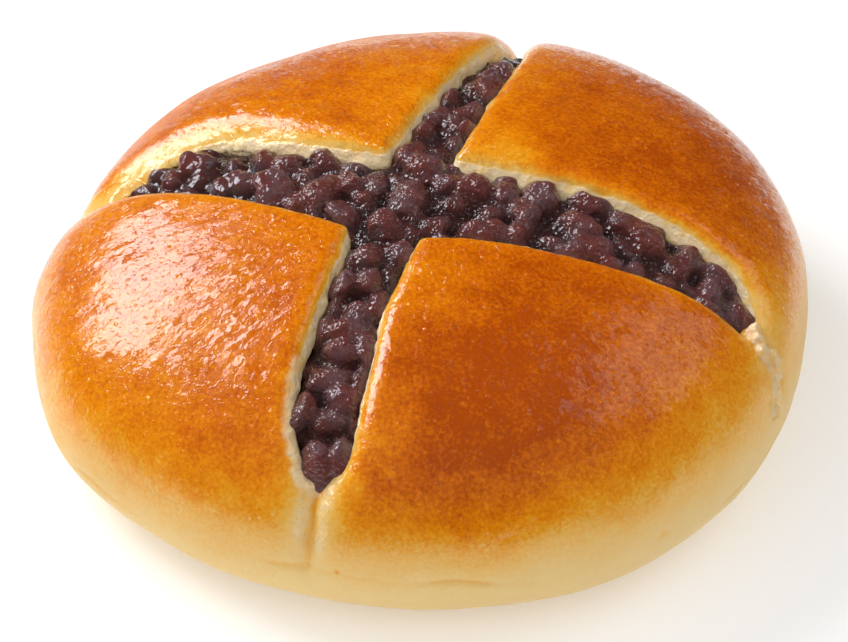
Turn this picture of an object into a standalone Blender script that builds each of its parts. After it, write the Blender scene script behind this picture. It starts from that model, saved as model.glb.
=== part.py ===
"""A round sweet bun, cut crosswise through its crown and filled with red bean paste.

Two pieces: the dough, which is one baked piece with four crust flaps round a cross-shaped cut, and the
bean filling, a flat cake of paste that runs through the bun under the flaps and shows in the cut.

Frame: metres, +Z up, origin at the middle of the flat foot that the bun rests on. The cuts run along X
and Y, and the bun's front is at -Y.
"""

import random
from math import atan2, cos, exp, hypot, pi, sin

import bmesh
import bpy
import numpy as np
from mathutils import Euler, Matrix, Vector, noise

MM = 0.001

# The bun as a whole
BUN_RADIUS = 50 * MM  # mean radius, at its widest
BUN_HEIGHT = 34.4 * MM
WIDEST_HEIGHT = 12 * MM  # height of the widest line above the table
FOOT_RADIUS = 34 * MM  # where the side curls under on to the table
CROWN_POWER = 2.31  # of the crown's profile: 2 is an ellipse, and more is squarer
SIDE_POWER = 2.4
# Its outline is uneven: the reach every 22.5 degrees, counter-clockwise from +X, in bun radii
REACH = (
    *(0.987, 0.996, 1.0, 0.987, 0.973, 0.943, 0.929, 0.953),
    *(0.969, 1.039, 1.063, 1.032, 1.008, 1.007, 1.019, 1.008),
)
SWELL = 0.5 * MM  # how much its surface swells and sinks
SWELL_LENGTH = 24 * MM

# The cross-shaped cut in plan, in millimetres: each arm from one flap's corner, round its tip, to the next
CUT_ARMS = {
    "right": (
        *((1.9, -10.7), (9.5, -8.5), (21, -7), (37, -5.6)),
        *((45.3, -5.6), (42.6, 1.2), (35, 4.3), (21, 5.7), (1.6, 4.3)),
    ),
    "back": ((1.6, 4.3), (2.5, 18), (2.6, 34), (-0.6, 47.5), (-2.8, 34), (-4.6, 19), (-6.7, 2.3)),
    "left": (
        *((-6.7, 2.3), (-18, 2.8), (-33.2, 3.6), (-41, -0.4)),
        *((-45.5, -6.4), (-38.5, -7.6), (-26, -8.8), (-6.8, -11.3)),
    ),
    "front": (
        *((-6.8, -11.3), (-6.6, -26), (-6, -37), (-3.8, -43.5)),
        *((0.2, -47.2), (3.2, -43), (2.6, -34), (1.5, -22), (1.9, -10.7)),
    ),
}
# With depth the tip of each arm slopes back towards the middle, by this much over a flap's thickness
TIP_SLOPE = {"right": 1.6 * MM, "back": 1.8 * MM, "left": 4 * MM, "front": 1.4 * MM}
SLOPE_START, SLOPE_FULL = 30 * MM, 44 * MM  # the radii between which that sets in
CUT_MIDDLE = (-2.0 * MM, -2.6 * MM)
WALL_LEAN = 0.3 * MM  # how far each wall of the cut leans in over a flap's thickness
FLAP_THICKNESS = 4.0 * MM
CUT_DEPTH = 6 * MM  # of the cutter: past the flaps it only meets the room for the filling
CUT_HEIGHT = 3 * MM  # of the cutter over the crown

# Past each tip the cut closes to a crease that runs down the side
CREASE_DEPTH = {"right": 1.8 * MM, "back": 4.4 * MM, "left": 3 * MM, "front": 1.6 * MM}
CREASE_WIDTH = 2.6 * MM
CREASE_START, CREASE_FULL = 34 * MM, 44 * MM  # the radii between which it sets in
CREASE_LOW, CREASE_HIGH = 3 * MM, 12 * MM  # the heights between which it fades out

# Torn dough stands up at the right tip: the middle of each crag, and its length, width and height
CRAGS = (
    ((44.9, -6.0, 21.2), (4.2, 2.6, 2.0)),
    ((47.0, -7.6, 19.4), (2.2, 5.0, 2.4)),
    ((48.0, -10.2, 16.2), (1.8, 4.2, 2.4)),
)

CRAG_TURN = (0.3, 0.2, 0.2)

# The filling
PASTE_RADIUS = 42.5 * MM
PASTE_FLOOR = 15 * MM  # the height of the dough under the middle of the paste
PASTE_RIM = 3 * MM  # thickness of the paste's rim
PASTE_BOWL_POWER = 3.2  # how suddenly the floor rises to the rim
CLEARANCE = 0.45 * MM  # between paste and dough
LEEWAY = 0.1 * MM  # that the beans may stand out from the paste under the flaps
ROOM = 0.6 * MM  # that the beans keep from the cut's walls
HEAP_HEIGHT = 1.2 * MM  # how much higher the paste stands where the cuts cross
HEAP_RADIUS = 13 * MM
BEAN_SIZE = (6.4 * MM, 4.8 * MM, 4.4 * MM)
BEAN_RANGE = (0.78, 1.12)  # their smallest and largest size
BEAN_SPACING = 3.7 * MM
BEAN_SEED = 11
BEAN_TRIES = 4000
BEAN_INSET = 0.6 * MM  # between the beans' middles and the wall of the cut

# How finely it is made
SECTORS = 216
CROWN_RINGS, SIDE_RINGS, FOOT_RINGS = 60, 24, 12
PASTE_SECTORS, PASTE_RINGS = 48, 11
ARM_STEPS = 5  # points of the cut's outline between two named ones
LUMP_ROUNDS = 2  # a crag or a bean then has 80 faces
SLICE = 3 * MM  # how closely the straight cutter is sliced before it is bent along the crown
DOUGH_VOXEL, DOUGH_SMOOTHING, DOUGH_TRIANGLES = 0.7 * MM, 6, 8000
FILLING_VOXEL, FILLING_SMOOTHING, FILLING_TRIANGLES = 0.45 * MM, 1, 5700
SHARP_ANGLE = 0.8  # between faces, in radians, from which an edge is shaded sharp
FOOT_TRIM = 0.15 * MM  # shaved off the foot, so that it is truly flat


def smoothstep(low, high, value):
    """0 below low, 1 above high, and an even rise between them."""
    t = min(1.0, max(0.0, (value - low) / (high - low)))
    return t * t * (3 - 2 * t)


def reach(angle):
    """The bun's radius in a direction in plan."""
    place = (angle % (2 * pi)) / (2 * pi) * len(REACH)
    step = int(place) % len(REACH)
    share = smoothstep(0, 1, place - int(place))
    return BUN_RADIUS * (REACH[step] * (1 - share) + REACH[(step + 1) % len(REACH)] * share)


def crown_height(x, y):
    """The height of the uncut crown over a point in plan."""
    out = min(1.0, hypot(x, y) / reach(atan2(y, x)))
    return WIDEST_HEIGHT + (BUN_HEIGHT - WIDEST_HEIGHT) * (1 - out**CROWN_POWER) ** (1 / CROWN_POWER)


def finished(name, mesh):
    """A new object in the scene that holds this bmesh, with its faces pointing out."""
    data = bpy.data.meshes.new(name)
    bmesh.ops.recalc_face_normals(mesh, faces=mesh.faces)
    mesh.to_mesh(data)
    mesh.free()
    made = bpy.data.objects.new(name, data)
    bpy.context.scene.collection.objects.link(made)
    return made


def turned(name, profile, sectors, place):
    """A closed solid round the Z axis. Each step of the profile, with an angle, gives place one point: the
    first step is the top of the axis and the last one its foot."""
    mesh = bmesh.new()
    top = mesh.verts.new(place(0.0, *profile[0]))
    foot = mesh.verts.new(place(0.0, *profile[-1]))
    rings = [
        [mesh.verts.new(place(2 * pi * k / sectors, *step)) for k in range(sectors)]
        for step in profile[1:-1]
    ]
    for k in range(sectors):
        after = (k + 1) % sectors
        mesh.faces.new((top, rings[0][k], rings[0][after]))
        mesh.faces.new((foot, rings[-1][after], rings[-1][k]))
        for upper, lower in zip(rings, rings[1:]):
            mesh.faces.new((upper[k], lower[k], lower[after], upper[after]))
    return finished(name, mesh)


def apply_modifier(target, kind, **settings):
    """Gives the object a modifier with these settings and makes its result the mesh."""
    modifier = target.modifiers.new(kind.title(), kind)
    for setting, value in settings.items():
        setattr(modifier, setting, value)
    graph = bpy.context.evaluated_depsgraph_get()
    data = bpy.data.meshes.new_from_object(target.evaluated_get(graph))
    target.modifiers.clear()
    target.data = data


def keep_body(target):
    """Keeps the largest shell: drops loose scraps, and fills any sealed hollow by dropping its skin."""
    mesh = bmesh.new()
    mesh.from_mesh(target.data)
    shells = []
    unseen = set(mesh.verts)
    while unseen:
        shell, border = set(), [unseen.pop()]
        while border:
            vertex = border.pop()
            shell.add(vertex)
            around = {edge.other_vert(vertex) for edge in vertex.link_edges} & unseen
            unseen -= around
            border.extend(around)
        shells.append(shell)
    largest = max(shells, key=len)
    bmesh.ops.delete(mesh, geom=[v for v in mesh.verts if v not in largest], context="VERTS")
    mesh.to_mesh(target.data)
    mesh.free()


def soften(target, voxel, smoothing, triangles):
    """Makes one even skin with soft edges, and then brings it down to about this many triangles."""
    apply_modifier(target, "REMESH", mode="VOXEL", voxel_size=voxel)
    apply_modifier(target, "SMOOTH", factor=0.5, iterations=smoothing)
    keep_body(target)
    apply_modifier(target, "TRIANGULATE")
    apply_modifier(target, "DECIMATE", ratio=triangles / len(target.data.polygons))


def discard(*objects):
    """Removes helpers that have done their work."""
    for helper in objects:
        bpy.data.objects.remove(helper)


# The dough


def bun_profile():
    """(share of the radius, height) from the top of the crown, down the side, to the middle of the foot."""
    points = []
    for i in range(CROWN_RINGS + 1):
        turn = i / CROWN_RINGS * pi / 2
        out, up = sin(turn) ** (2 / CROWN_POWER), abs(cos(turn)) ** (2 / CROWN_POWER)
        points.append((out, WIDEST_HEIGHT + (BUN_HEIGHT - WIDEST_HEIGHT) * up))
    foot = FOOT_RADIUS / BUN_RADIUS
    for i in range(1, SIDE_RINGS + 1):
        turn = i / SIDE_RINGS * pi / 2
        out, down = abs(cos(turn)) ** (2 / SIDE_POWER), sin(turn) ** (2 / SIDE_POWER)
        points.append((foot + (1 - foot) * out, WIDEST_HEIGHT * (1 - down)))
    return points + [(foot * (1 - i / FOOT_RINGS), 0.0) for i in range(1, FOOT_RINGS + 1)]


def crease_dent(x, y, z):
    """How far the creases past the four tips draw the surface in at one of its points."""
    dent = 0.0
    for name, arm in CUT_ARMS.items():
        way = Vector(max(arm, key=lambda point: hypot(*point))).normalized()
        along, across = way.x * x + way.y * y, way.x * y - way.y * x
        if along > 0:
            fold = exp(-((across / CREASE_WIDTH) ** 2)) * smoothstep(CREASE_START, CREASE_FULL, along)
            dent += CREASE_DEPTH[name] * fold
    return dent * smoothstep(CREASE_LOW, CREASE_HIGH, z)


def bun_point(angle, share, height):
    """A point of the bun's skin, with the creases and the slow swells of a hand-shaped bun."""
    radius = share * reach(angle)
    point = Vector((radius * cos(angle), radius * sin(angle), height))
    swell = SWELL * noise.noise(point / SWELL_LENGTH) * smoothstep(0, WIDEST_HEIGHT, height)
    outward = Vector((point.x, point.y, 0)).normalized() * share**3 + Vector((0, 0, 1 - share**3))
    return point + outward * (swell - crease_dent(*point))


def curve_through(points, steps):
    """A smooth curve through the points, with its first and last point as sharp ends."""
    points = [Vector(point) for point in points]
    padded = [2 * points[0] - points[1], *points, 2 * points[-1] - points[-2]]
    curve = []
    for before, start, end, after in zip(padded, padded[1:], padded[2:], padded[3:]):
        for k in range(steps):
            t = k / steps
            bend = (2 * before - 5 * start + 4 * end - after) * t**2
            turn = (3 * start - before - 3 * end + after) * t**3
            curve.append((2 * start + (end - before) * t + bend + turn) / 2)
    return curve


def cut_outline(depth, gap=0.0):
    """The cut's outline in plan at a depth under the crown, counter-clockwise, drawn in by a gap."""
    curve = []
    for name, arm in CUT_ARMS.items():
        for point in curve_through(arm, ARM_STEPS):
            slope = TIP_SLOPE[name] * smoothstep(SLOPE_START, SLOPE_FULL, point.length * MM)
            curve.append(point * MM - point.normalized() * slope * max(depth, 0) / FLAP_THICKNESS)
    outline = []
    inset = WALL_LEAN * depth / FLAP_THICKNESS + gap
    for before, point, after in zip(curve[-1:] + curve, curve, curve[1:] + curve[:1]):
        along = (after - before).normalized()
        outline.append(point + Vector((-along.y, along.x)) * inset)
    return outline


def clear_pairs(bottom, top, gap):
    """The outline's points at both heights, without those that cross over each other at a sharp tip."""
    pairs = list(zip(cut_outline(-bottom, gap), cut_outline(-top, gap)))
    for side, height in ((0, bottom), (1, top)):
        wall = cut_outline(-height)
        pairs = [pair for pair in pairs if min((pair[side] - point).length for point in wall) >= 0.97 * gap]
    return pairs


def cut_prism(name, bottom, top, gap=0.0):
    """The space of the cut between two heights over the crown, sliced across and bent along the crown."""
    mesh = bmesh.new()
    pairs = clear_pairs(bottom, top, gap)
    low = [mesh.verts.new((*lower, bottom)) for lower, _ in pairs]
    high = [mesh.verts.new((*upper, top)) for _, upper in pairs]
    mesh.faces.new(low[::-1])
    mesh.faces.new(high)
    for k in range(len(low)):
        after = (k + 1) % len(low)
        mesh.faces.new((low[k], low[after], high[after], high[k]))
    slices = int(BUN_RADIUS / SLICE)
    for k in range(-slices, slices + 1):
        for across in (Vector((1, 0, 0)), Vector((0, 1, 0))):
            place = across * (k + 0.37) * SLICE
            whole = mesh.verts[:] + mesh.edges[:] + mesh.faces[:]
            bmesh.ops.bisect_plane(mesh, geom=whole, plane_co=place, plane_no=across)
    bmesh.ops.triangulate(mesh, faces=mesh.faces)
    for vertex in mesh.verts:
        vertex.co.z += crown_height(vertex.co.x, vertex.co.y)
    return finished(name, mesh)


def lump(name, middle, size, turn):
    """An oval lump of dough or bean: its size along its own axes, and how it is turned."""
    place = Matrix.Translation(middle) @ turn.to_matrix().to_4x4()
    shape = Matrix.Diagonal([*(length / 2 for length in size), 1])
    mesh = bmesh.new()
    bmesh.ops.create_icosphere(mesh, subdivisions=LUMP_ROUNDS, radius=1, matrix=place @ shape)
    return finished(name, mesh)


def fuse(target, lumps):
    """Joins the lumps to the target in one Boolean union, and removes them."""
    pile = bpy.data.collections.new("pile")
    bpy.context.scene.collection.children.link(pile)
    for piece in lumps:
        bpy.context.scene.collection.objects.unlink(piece)
        pile.objects.link(piece)
    settings = {"operation": "UNION", "operand_type": "COLLECTION", "collection": pile, "solver": "EXACT"}
    apply_modifier(target, "BOOLEAN", **settings)
    discard(*lumps)
    bpy.data.collections.remove(pile)


def trim_foot(dough):
    """Shaves the foot truly flat."""
    mesh = bmesh.new()
    mesh.from_mesh(dough.data)
    whole = mesh.verts[:] + mesh.edges[:] + mesh.faces[:]
    up, level = Vector((0, 0, 1)), Vector((0, 0, FOOT_TRIM))
    cut = bmesh.ops.bisect_plane(mesh, geom=whole, plane_co=level, plane_no=up, clear_inner=True)
    rim = [part for part in cut["geom_cut"] if isinstance(part, bmesh.types.BMEdge)]
    bmesh.ops.contextual_create(mesh, geom=rim)
    bmesh.ops.triangulate(mesh, faces=mesh.faces)
    mesh.to_mesh(dough.data)
    mesh.free()


def make_dough():
    """The bun's skin, less the filling's room and the cut, with soft edges as rising dough leaves them."""
    dough = turned("bun_dough", bun_profile(), SECTORS, bun_point)
    room = paste_cake("room", CLEARANCE)
    apply_modifier(dough, "BOOLEAN", operation="DIFFERENCE", object=room, solver="EXACT")
    cut = cut_prism("cut", -CUT_DEPTH, CUT_HEIGHT)
    apply_modifier(dough, "BOOLEAN", operation="DIFFERENCE", object=cut, solver="EXACT")
    discard(room, cut)
    crags = [
        lump(f"crag_{k}", Vector(middle) * MM, Vector(size) * MM, Euler(CRAG_TURN))
        for k, (middle, size) in enumerate(CRAGS)
    ]
    fuse(dough, crags)
    soften(dough, DOUGH_VOXEL, DOUGH_SMOOTHING, DOUGH_TRIANGLES)
    trim_foot(dough)
    return dough


# The filling


def paste_top(x, y):
    """The height of the filling's upper side, before its beans."""
    heap = HEAP_HEIGHT * exp(-((hypot(x - CUT_MIDDLE[0], y - CUT_MIDDLE[1]) / HEAP_RADIUS) ** 2))
    return crown_height(x, y) - FLAP_THICKNESS - CLEARANCE + heap


def paste_point(angle, share, face, grown):
    """A point of the paste's skin, on its top or its floor, moved out by grown."""
    rim = PASTE_RADIUS * reach(angle) / BUN_RADIUS
    x, y = share * (rim + grown) * cos(angle), share * (rim + grown) * sin(angle)
    if face == "top":
        return Vector((x, y, paste_top(x, y) + grown))
    low, high = PASTE_FLOOR, paste_top(rim * cos(angle), rim * sin(angle)) - PASTE_RIM
    return Vector((x, y, low + (high - low) * share**PASTE_BOWL_POWER - grown))


def paste_cake(name, grown=0.0):
    """The flat cake of paste, or with grown the room that it needs."""
    shares = [sin(i / PASTE_RINGS * pi / 2) for i in range(PASTE_RINGS + 1)]
    profile = [(share, "top", grown) for share in shares]
    profile += [(share, "floor", grown) for share in shares[-2::-1]]
    return turned(name, profile, PASTE_SECTORS, paste_point)


def bean_places():
    """Where the beans lie in the cut, as (x, y, size, turn): seeded darts that keep their distance."""
    draw = random.Random(BEAN_SEED)
    outline = cut_outline(FLAP_THICKNESS, BEAN_INSET)
    places = []
    for _ in range(BEAN_TRIES):
        x, y = draw.uniform(-BUN_RADIUS, BUN_RADIUS), draw.uniform(-BUN_RADIUS, BUN_RADIUS)
        size, turn = draw.uniform(*BEAN_RANGE), draw.uniform(0, pi)
        if not inside(x, y, outline):
            continue
        if all(hypot(x - u, y - v) > BEAN_SPACING * (size + s) / 2 for u, v, s, _ in places):
            places.append((x, y, size, turn))
    return places


def inside(x, y, outline):
    """Whether a point in plan is inside a closed outline."""
    crossings = 0
    for a, b in zip(outline, outline[1:] + outline[:1]):
        if (a.y > y) != (b.y > y) and x < a.x + (y - a.y) / (b.y - a.y) * (b.x - a.x):
            crossings += 1
    return crossings % 2 == 1


def make_bean(place, number):
    """One cooked bean, a plump oval, half sunk into the paste."""
    x, y, size, turn = place
    lift = BEAN_SIZE[2] * (-0.03 - 0.12 * sin(3 * number))
    middle = Vector((x, y, paste_top(x, y) + lift))
    tilt = Euler((0.5 * sin(7 * number), 0.5 * cos(5 * number), turn))
    return lump(f"bean_{number}", middle, Vector(BEAN_SIZE) * size, tilt)


def make_filling():
    """The cake of paste with the beans that show in the cut fused on, kept clear of the cut's walls."""
    filling = paste_cake("bean_filling")
    fuse(filling, [make_bean(place, number) for number, place in enumerate(bean_places())])
    envelope = paste_cake("envelope", LEEWAY)
    shaft = cut_prism("shaft", -CUT_DEPTH, 0, ROOM)
    apply_modifier(envelope, "BOOLEAN", operation="UNION", object=shaft, solver="EXACT")
    apply_modifier(filling, "BOOLEAN", operation="INTERSECT", object=envelope, solver="EXACT")
    discard(envelope, shaft)
    soften(filling, FILLING_VOXEL, FILLING_SMOOTHING, FILLING_TRIANGLES)
    return filling


def paint(target, name, color, roughness):
    """Gives the object its own material."""
    material = bpy.data.materials.new(name)
    material.use_nodes = True
    surface = material.node_tree.nodes["Principled BSDF"]
    surface.inputs["Base Color"].default_value = (*color, 1)
    surface.inputs["Roughness"].default_value = roughness
    surface.inputs["Metallic"].default_value = 0.0
    target.data.materials.clear()
    target.data.materials.append(material)


def stand(dough, filling):
    """Stands the bun on the table with the middle of its box on the Z axis."""
    points = np.array([vertex.co for vertex in dough.data.vertices])
    low, high = points.min(axis=0), points.max(axis=0)
    shift = Matrix.Translation((-(low[0] + high[0]) / 2, -(low[1] + high[1]) / 2, -low[2]))
    for made in (dough, filling):
        made.data.transform(shift)


def main():
    for leftover in list(bpy.data.objects):
        bpy.data.objects.remove(leftover)
    dough = make_dough()
    filling = make_filling()
    stand(dough, filling)
    paint(dough, "baked_crust", (0.72, 0.30, 0.04), 0.35)
    paint(filling, "red_bean_paste", (0.09, 0.035, 0.04), 0.3)
    for made in (dough, filling):
        made.data.shade_smooth()
        made.data.set_sharp_from_angle(angle=SHARP_ANGLE)


main()
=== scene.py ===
# %% [markdown]
# # A red bean bun, dressed for its picture
#
# The bun is a round of soft sweet dough with a glossy, egg-washed crust. Its crown is cut crosswise, and
# coarse sweet red bean paste shows in the cut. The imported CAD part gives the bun's size and place. This
# lesson builds the two pieces again with the detail that a camera sees: the dough with its fluffy cut walls,
# creases and torn flakes, and the bean filling with its wet, crowded beans.

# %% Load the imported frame
import math
import random

import bpy
import numpy as np
from mathutils import Euler, Matrix, Vector, noise


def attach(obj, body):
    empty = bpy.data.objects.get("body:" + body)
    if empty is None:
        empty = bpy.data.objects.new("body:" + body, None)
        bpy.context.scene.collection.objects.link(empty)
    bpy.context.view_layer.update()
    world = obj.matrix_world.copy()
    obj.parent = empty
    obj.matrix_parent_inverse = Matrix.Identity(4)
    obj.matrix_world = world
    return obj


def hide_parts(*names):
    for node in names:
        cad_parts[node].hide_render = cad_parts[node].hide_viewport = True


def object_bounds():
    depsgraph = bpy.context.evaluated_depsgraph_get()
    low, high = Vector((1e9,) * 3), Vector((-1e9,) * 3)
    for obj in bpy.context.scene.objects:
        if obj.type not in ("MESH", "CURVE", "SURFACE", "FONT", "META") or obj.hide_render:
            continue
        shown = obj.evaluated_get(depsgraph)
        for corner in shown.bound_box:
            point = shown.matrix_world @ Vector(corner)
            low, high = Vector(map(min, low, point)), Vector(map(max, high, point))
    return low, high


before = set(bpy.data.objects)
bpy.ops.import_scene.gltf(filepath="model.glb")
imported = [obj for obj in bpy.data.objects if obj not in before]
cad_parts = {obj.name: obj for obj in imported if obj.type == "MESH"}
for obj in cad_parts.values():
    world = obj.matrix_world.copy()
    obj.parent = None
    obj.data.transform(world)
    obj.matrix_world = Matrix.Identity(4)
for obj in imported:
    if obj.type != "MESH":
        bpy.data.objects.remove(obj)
cad_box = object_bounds()
print("CAD box in mm:", [[round(v * 1000, 1) for v in corner] for corner in cad_box])

# %% [markdown]
# ## Working by hand, in code
#
# A modeller picks a piece, gives it a modifier, applies it, and moves points. The helpers here do those same
# things. Everything else is deselected first, because an operator acts on all that is selected. Points are
# read and written in millimetres, which suits a bun better than metres do.

# %% Helpers for picking, applying and moving
MM = 0.001


def pick(*pieces):
    """Selects these pieces alone, the first one active."""
    bpy.ops.object.select_all(action="DESELECT")
    for piece in pieces:
        piece.select_set(True)
    bpy.context.view_layer.objects.active = pieces[0]


def apply_modifier(piece, kind, **settings):
    """Adds a modifier with these settings and applies it."""
    pick(piece)
    bpy.ops.object.modifier_add(type=kind)
    modifier = piece.modifiers[-1]
    for setting, value in settings.items():
        setattr(modifier, setting, value)
    bpy.ops.object.modifier_apply(modifier=modifier.name)


def points_of(piece):
    """The piece's points in millimetres, one row each."""
    flat = np.empty(len(piece.data.vertices) * 3, np.float32)
    piece.data.vertices.foreach_get("co", flat)
    return flat.reshape(-1, 3).astype(float) / MM


def move_points(piece, points):
    """Puts the piece's points where these rows of millimetres say."""
    piece.data.vertices.foreach_set("co", (points * MM).astype(np.float32).ravel())
    piece.data.update()


def normals_of(piece):
    """The piece's own outward directions, one row for each point."""
    flat = np.empty(len(piece.data.vertices) * 3, np.float32)
    piece.data.vertex_normals.foreach_get("vector", flat)
    return flat.reshape(-1, 3).astype(float)


def triangles(piece):
    """How many triangles a piece has."""
    return sum(len(face.vertices) - 2 for face in piece.data.polygons)


# %% [markdown]
# ## Soft steps and soft noise
#
# Nothing on a bun starts or stops sharply. So amounts fade in with a smooth step between two values, which
# are kept together below as a pair, or they fade out round a line as a bell curve. What is uneven comes from
# smooth noise, whose lumps have a length in millimetres. Noise may lie in layers: each is written as how
# strong it is, how long its lumps are, and the seed that makes it differ from the others.

# %% Helpers for fading and for noise
NOISE_TURN = np.array(Euler((0.6, 0.4, 0.5)).to_matrix())  # sets the noise's own grid askew to the cuts
SEED_SHIFT = (17.3, -9.1, 5.7)


def smoothstep(low, high, value):
    """0 below low, 1 above high, and an even rise between them."""
    t = np.clip((value - low) / (high - low), 0, 1)
    return t * t * (3 - 2 * t)


def bell(off, width, power=2):
    """1 where off is 0, about a third at the width, and soon near 0 past it."""
    return np.exp(-((off / width) ** power))


def ripple(points, length, seed=0.0):
    """Smooth noise between -1 and 1 at each point, with lumps of about this length in millimetres."""
    shift = np.array([seed * way for way in SEED_SHIFT])
    return np.array([noise.noise(place) for place in points @ NOISE_TURN.T / length + shift])


def layered(points, layers):
    """Several ripples on top of one another, each with its strength, length and seed."""
    return sum(strength * ripple(points, length, seed) for strength, length, seed in layers)


# %% [markdown]
# ## The bun's form
#
# A risen bun is nearly round from above, but no bun is a circle. Its reach is measured every 22.5 degrees.
# From the side it is a cushion: a full crown, a widest line 12 mm above the table, and a flat foot. A
# superellipse gives both curves, because its power says how square the shoulder is. These numbers are the CAD
# part's own, so the dressed bun stays on its solids.

# %% Measures of the whole bun, in millimetres
BUN_RADIUS = 50
BUN_HEIGHT = 34.4
WIDEST_HEIGHT = 12
FOOT_RADIUS = 34
CROWN_POWER = 2.31
SIDE_POWER = 2.4
REACH = np.array(
    [0.987, 0.996, 1.0, 0.987, 0.973, 0.943, 0.929, 0.953]
    + [0.969, 1.039, 1.063, 1.032, 1.008, 1.007, 1.019, 1.008]
)
STOOD = np.array((-0.25, 0.925, -0.15))  # how far the part was moved to stand on the middle of its box


def reach(angle):
    """The bun's radius in a direction in plan."""
    place = (angle % (2 * math.pi)) / (2 * math.pi) * len(REACH)
    step = np.floor(place).astype(int)
    share = smoothstep(0, 1, place - step)
    here, after = REACH[step % len(REACH)], REACH[(step + 1) % len(REACH)]
    return BUN_RADIUS * (here * (1 - share) + after * share)


def crown_height(x, y):
    """The height of the uncut crown over a point in plan."""
    out = np.minimum(1, np.hypot(x, y) / reach(np.arctan2(y, x)))
    return WIDEST_HEIGHT + (BUN_HEIGHT - WIDEST_HEIGHT) * (1 - out**CROWN_POWER) ** (1 / CROWN_POWER)


print("reach in mm:", round(BUN_RADIUS * REACH.min(), 1), "to", round(BUN_RADIUS * REACH.max(), 1))

# %% [markdown]
# ## The dough as one round
#
# A sphere is the right start for a bun: it is closed, and its rings become the bun's rings. Its upper half is
# moved to the crown's curve. Its lower half curls under to the foot, and the last rings lie flat.

# %% Shape a sphere into the bun
BUN_SECTORS, BUN_RINGS = 288, 180
FOOT_SHARE = 0.15  # of the lower half's rings that lie flat under the bun


def new_sphere(name, sectors, rings):
    """A sphere of radius 1, with its points in rows, as the start of a piece."""
    bpy.ops.object.select_all(action="DESELECT")
    bpy.ops.mesh.primitive_uv_sphere_add(segments=sectors, ring_count=rings, radius=1)
    piece = bpy.context.object
    piece.name = name
    return piece, points_of(piece) * MM


def shape_bun(name):
    """The whole bun, before it is cut."""
    bun, ball = new_sphere(name, BUN_SECTORS, BUN_RINGS)
    angle = np.arctan2(ball[:, 1], ball[:, 0])
    turn = np.arccos(np.clip(ball[:, 2], -1, 1))  # 0 at the top, a quarter turn at the widest ring
    quarter = math.pi / 2
    out = np.sin(np.minimum(turn, quarter)) ** (2 / CROWN_POWER)
    up = np.abs(np.cos(np.minimum(turn, quarter))) ** (2 / CROWN_POWER)
    height = WIDEST_HEIGHT + (BUN_HEIGHT - WIDEST_HEIGHT) * up
    down = np.clip((turn - quarter) / quarter / (1 - FOOT_SHARE), 0, 1) * quarter
    foot = FOOT_RADIUS / BUN_RADIUS
    lower = turn > quarter
    out[lower] = (foot + (1 - foot) * np.abs(np.cos(down)) ** (2 / SIDE_POWER))[lower]
    height[lower] = (WIDEST_HEIGHT * (1 - np.sin(down) ** (2 / SIDE_POWER)))[lower]
    flat = np.clip((math.pi - turn) / quarter / FOOT_SHARE, 0, 1)
    out[lower] *= flat[lower]
    radius = out * reach(angle)
    move_points(bun, np.column_stack((radius * np.cos(angle), radius * np.sin(angle), height)))
    return bun


dough = shape_bun("soft_dough")
print("bun before the cut:", len(dough.data.polygons), "faces")

# %% [markdown]
# ## The cross-shaped cut
#
# The baker cuts through the upper crust only, so the cut is a narrow cross of four arms that end in points.
# Its outline is a smooth line through named points. A cylinder with as many sides as the outline has points
# becomes the cutter: its rims are moved to the outline at two depths, and it is then bent along the crown.
# Bisecting it first gives it the rows it needs to bend.

# %% The outline of the cut, in millimetres
CUT_ARMS = {
    "right": (
        (1.9, -10.7), (9.5, -8.5), (21, -7), (37, -5.6), (45.3, -5.6),
        (42.6, 1.2), (35, 4.3), (21, 5.7), (1.6, 4.3),
    ),
    "back": ((1.6, 4.3), (2.5, 18), (2.6, 34), (-0.6, 47.5), (-2.8, 34), (-4.6, 19), (-6.7, 2.3)),
    "left": (
        (-6.7, 2.3), (-18, 2.8), (-33.2, 3.6), (-41, -0.4),
        (-45.5, -6.4), (-38.5, -7.6), (-26, -8.8), (-6.8, -11.3),
    ),
    "front": (
        (-6.8, -11.3), (-6.6, -26), (-6, -37), (-3.8, -43.5), (0.2, -47.2),
        (3.2, -43), (2.6, -34), (1.5, -22), (1.9, -10.7),
    ),
}
FLAP_THICKNESS = 4.0
TIP_SLOPE = {"right": 1.6, "back": 1.8, "left": 4.0, "front": 1.4}  # how far each tip slopes in over a flap
SLOPE_FROM_MIDDLE = (30, 44)  # where the slope sets in and where it is full
WALL_LEAN = 0.3  # how far the walls lean over the thickness of a flap
ARM_STEPS = 6


def tip_of(arm):
    """The far end of one arm of the cut, in plan."""
    return Vector(max(CUT_ARMS[arm], key=lambda point: math.hypot(*point)))


def curve_through(points, steps):
    """A smooth curve through the points, with its first and last point as sharp ends."""
    points = [Vector(point) for point in points]
    padded = [2 * points[0] - points[1], *points, 2 * points[-1] - points[-2]]
    curve = []
    for before, start, end, after in zip(padded, padded[1:], padded[2:], padded[3:]):
        for k in range(steps):
            t = k / steps
            bend = (2 * before - 5 * start + 4 * end - after) * t**2
            turn = (3 * start - before - 3 * end + after) * t**3
            curve.append((2 * start + (end - before) * t + bend + turn) / 2)
    return curve


def cut_outline(depth):
    """The cut's outline in plan at a depth under the crown, counter-clockwise."""
    curve = []
    for name, arm in CUT_ARMS.items():
        for point in curve_through(arm, ARM_STEPS):
            slope = TIP_SLOPE[name] * smoothstep(*SLOPE_FROM_MIDDLE, point.length)
            curve.append(point - point.normalized() * slope * max(depth, 0) / FLAP_THICKNESS)
    outline = []
    for before, point, after in zip(curve[-1:] + curve, curve, curve[1:] + curve[:1]):
        along = (after - before).normalized()
        outline.append(point + Vector((-along.y, along.x)) * WALL_LEAN * depth / FLAP_THICKNESS)
    return outline


print("outline of the cut:", len(cut_outline(0)), "points")

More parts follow.
